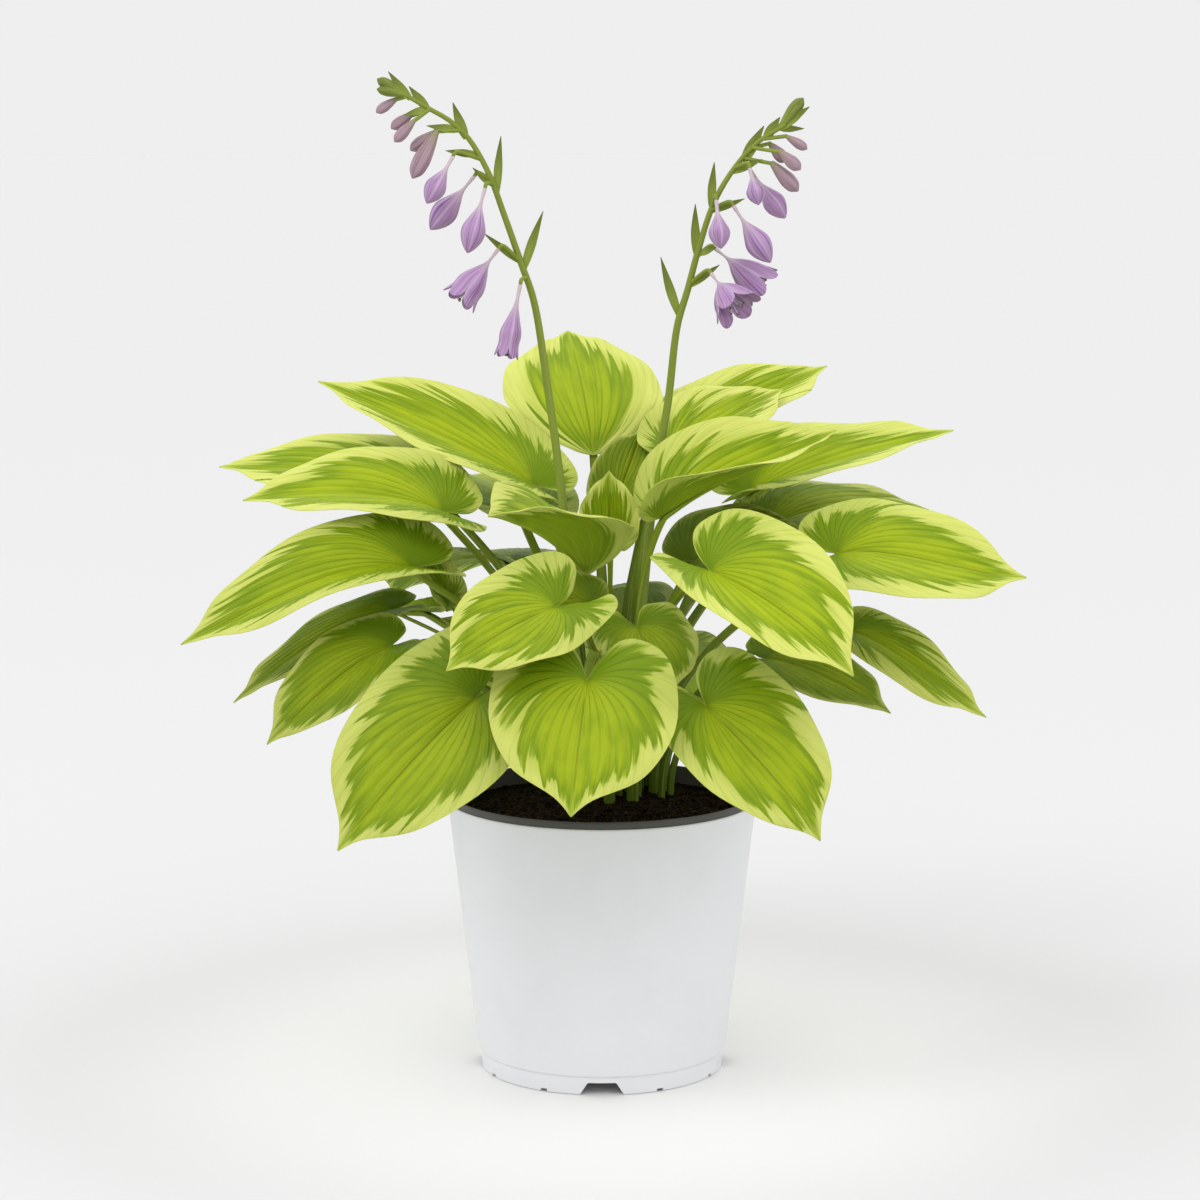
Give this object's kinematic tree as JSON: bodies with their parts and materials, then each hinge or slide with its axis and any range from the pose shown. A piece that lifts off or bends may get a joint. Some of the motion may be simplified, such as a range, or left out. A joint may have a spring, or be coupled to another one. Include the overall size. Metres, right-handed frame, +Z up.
{
  "type": "potted hosta plant",
  "caption": "Variegated hosta with heart-shaped leaves and two leaning lavender flower stems, standing in soil in a round tapered two-layer nursery pot.",
  "frame": {"origin": "on the ground under the pot's axis, which is the middle of the bounding box in x and y", "axes": "+Z up along the pot's axis, -Y towards the front of the plant as in the picture, +X to the right seen from the front"},
  "size_m": [0.5791, 0.5029, 0.7043],
  "materials": {
    "white_plastic": "satin moulded plastic",
    "black_plastic": "satin moulded plastic",
    "potting_mix": "rough, crumbly",
    "leaf_green": "satin, veined, pale margins",
    "stem_green": "satin",
    "petal_lavender": "soft satin, darker stripes"
  },
  "bodies": {
    "root": {"flower_left_1": "petal_lavender", "flower_left_2": "petal_lavender", "flower_left_3": "petal_lavender", "flower_left_4": "petal_lavender", "flower_left_5": "petal_lavender", "flower_right_1": "petal_lavender", "flower_right_2": "petal_lavender", "flower_right_3": "petal_lavender", "flower_right_4": "petal_lavender", "flower_right_5": "petal_lavender", "flower_right_6": "petal_lavender", "flower_stem_left": "stem_green", "flower_stem_right": "stem_green", "leaf_back_1": "leaf_green", "leaf_back_2": "leaf_green", "leaf_front_1": "leaf_green", "leaf_front_2": "leaf_green", "leaf_front_3": "leaf_green", "leaf_inner_1": "leaf_green", "leaf_inner_2": "leaf_green", "leaf_inner_3": "leaf_green", "leaf_inner_4": "leaf_green", "leaf_inner_5": "leaf_green", "leaf_left_1": "leaf_green", "leaf_left_2": "leaf_green", "leaf_left_3": "leaf_green", "leaf_left_4": "leaf_green", "leaf_left_5": "leaf_green", "leaf_left_6": "leaf_green", "leaf_left_7": "leaf_green", "leaf_rear_1": "leaf_green", "leaf_rear_10": "leaf_green", "leaf_rear_11": "leaf_green", "leaf_rear_2": "leaf_green", "leaf_rear_3": "leaf_green", "leaf_rear_4": "leaf_green", "leaf_rear_5": "leaf_green", "leaf_rear_6": "leaf_green", "leaf_rear_7": "leaf_green", "leaf_rear_8": "leaf_green", "leaf_rear_9": "leaf_green", "leaf_right_1": "leaf_green", "leaf_right_10": "leaf_green", "leaf_right_11": "leaf_green", "leaf_right_2": "leaf_green", "leaf_right_3": "leaf_green", "leaf_right_4": "leaf_green", "leaf_right_5": "leaf_green", "leaf_right_6": "leaf_green", "leaf_right_7": "leaf_green", "leaf_right_8": "leaf_green", "leaf_right_9": "leaf_green", "leaf_young_1": "leaf_green", "leaf_young_2": "leaf_green", "pot_black_layer": "black_plastic", "pot_white_layer": "white_plastic", "soil": "potting_mix"}
  },
  "joints": []
}
